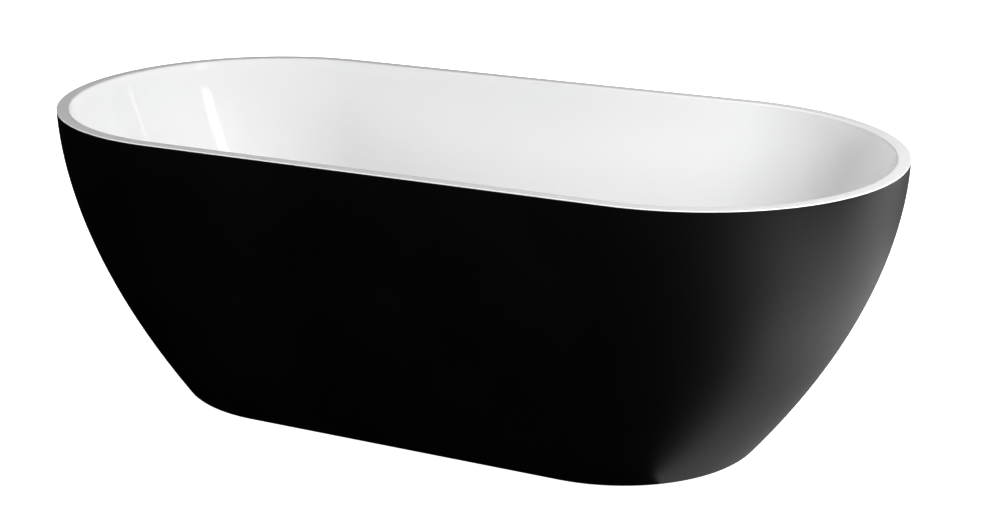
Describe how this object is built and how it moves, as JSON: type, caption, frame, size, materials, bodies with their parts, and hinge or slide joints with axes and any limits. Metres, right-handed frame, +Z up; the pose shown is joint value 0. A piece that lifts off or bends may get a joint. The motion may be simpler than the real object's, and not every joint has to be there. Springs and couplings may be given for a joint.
{
  "type": "freestanding bathtub",
  "caption": "Oval double-skinned bathtub: white basin in a flared black shell, on a steel frame with screw feet, push-to-open waste, slot overflow and low trap.",
  "frame": {"origin": "on the floor, under the middle of the tub", "axes": "+X along the tub, +Y across it away from the overflow side, +Z up"},
  "size_m": [1.7, 0.8, 0.57],
  "materials": {
    "outer_acrylic": "satin",
    "inner_acrylic": "gloss",
    "plywood": "raw",
    "galvanised_tube": "galvanised",
    "bracket_steel": "galvanised",
    "zinc_screw": "yellow zinc",
    "zinc_nut": "bright zinc",
    "zinc_stud": "bright zinc",
    "black_nylon": "moulded",
    "chrome_brass": "polished",
    "silicone_white": "matte",
    "black_rubber": "matte",
    "white_pp": "moulded",
    "grey_pp": "moulded",
    "hose_pp": "moulded",
    "brass": "machined",
    "spring_steel": "drawn",
    "clip_steel": "rolled"
  },
  "bodies": {
    "tub": {"outer_shell": "outer_acrylic", "inner_shell": "inner_acrylic", "base_board": "plywood", "frame_rail_front": "galvanised_tube", "frame_rail_back": "galvanised_tube", "end_crossbar_left": "galvanised_tube", "end_crossbar_right": "galvanised_tube", "mid_crossbar_left": "galvanised_tube", "mid_crossbar_right": "galvanised_tube", "board_screws": "zinc_screw", "skirt_brackets": "bracket_steel", "bracket_screws": "zinc_screw", "foot_weld_nuts": "zinc_nut", "foot_lock_nuts": "zinc_nut", "waste_flange": "chrome_brass", "waste_washer_top": "silicone_white", "waste_washer_bottom": "black_rubber", "waste_tee": "white_pp", "click_cartridge": "brass", "click_spring": "spring_steel", "overflow_trim": "chrome_brass", "overflow_gasket": "black_rubber", "overflow_body": "white_pp", "overflow_screws": "chrome_brass", "overflow_hose": "hose_pp", "hose_clips": "clip_steel", "trap_body": "white_pp", "trap_inlet_nut": "grey_pp", "trap_outlet_nut": "grey_pp", "trap_washers": "black_rubber", "outlet_elbow": "white_pp"},
    "plug": {"plug_cap": "chrome_brass", "plug_seal": "black_rubber", "plug_plunger": "brass"},
    "foot_1": {"foot_pad_1": "black_nylon"},
    "stud_1": {"foot_stud_1": "zinc_stud"},
    "foot_2": {"foot_pad_2": "black_nylon"},
    "stud_2": {"foot_stud_2": "zinc_stud"},
    "foot_3": {"foot_pad_3": "black_nylon"},
    "stud_3": {"foot_stud_3": "zinc_stud"},
    "foot_4": {"foot_pad_4": "black_nylon"},
    "stud_4": {"foot_stud_4": "zinc_stud"}
  },
  "joints": [
    {"name": "plug_lift", "type": "slide", "parent": "tub", "child": "plug", "axis": [0, 0, 1], "range_m": [0, 0.01], "deforming": ["click_spring"]},
    {"name": "foot_1_height", "type": "slide", "parent": "tub", "child": "foot_1", "axis": [0, 0, 1], "range_m": [-0.0245, 0.0105]},
    {"name": "foot_1_turn", "type": "hinge", "parent": "foot_1", "child": "stud_1", "pos_m": [-0.43, -0.184, 0.04], "axis": [0, 0, 1], "range_deg": [-5040, 2160]},
    {"name": "foot_2_height", "type": "slide", "parent": "tub", "child": "foot_2", "axis": [0, 0, 1], "range_m": [-0.0245, 0.0105]},
    {"name": "foot_2_turn", "type": "hinge", "parent": "foot_2", "child": "stud_2", "pos_m": [-0.43, 0.184, 0.04], "axis": [0, 0, 1], "range_deg": [-5040, 2160]},
    {"name": "foot_3_height", "type": "slide", "parent": "tub", "child": "foot_3", "axis": [0, 0, 1], "range_m": [-0.0245, 0.0105]},
    {"name": "foot_3_turn", "type": "hinge", "parent": "foot_3", "child": "stud_3", "pos_m": [0.43, -0.184, 0.04], "axis": [0, 0, 1], "range_deg": [-5040, 2160]},
    {"name": "foot_4_height", "type": "slide", "parent": "tub", "child": "foot_4", "axis": [0, 0, 1], "range_m": [-0.0245, 0.0105]},
    {"name": "foot_4_turn", "type": "hinge", "parent": "foot_4", "child": "stud_4", "pos_m": [0.43, 0.184, 0.04], "axis": [0, 0, 1], "range_deg": [-5040, 2160]}
  ],
  "couplings": [
    {"joint": "foot_1_turn", "follows": "foot_1_height", "rad_per_m": 3590.4},
    {"joint": "foot_2_turn", "follows": "foot_2_height", "rad_per_m": 3590.4},
    {"joint": "foot_3_turn", "follows": "foot_3_height", "rad_per_m": 3590.4},
    {"joint": "foot_4_turn", "follows": "foot_4_height", "rad_per_m": 3590.4}
  ]
}
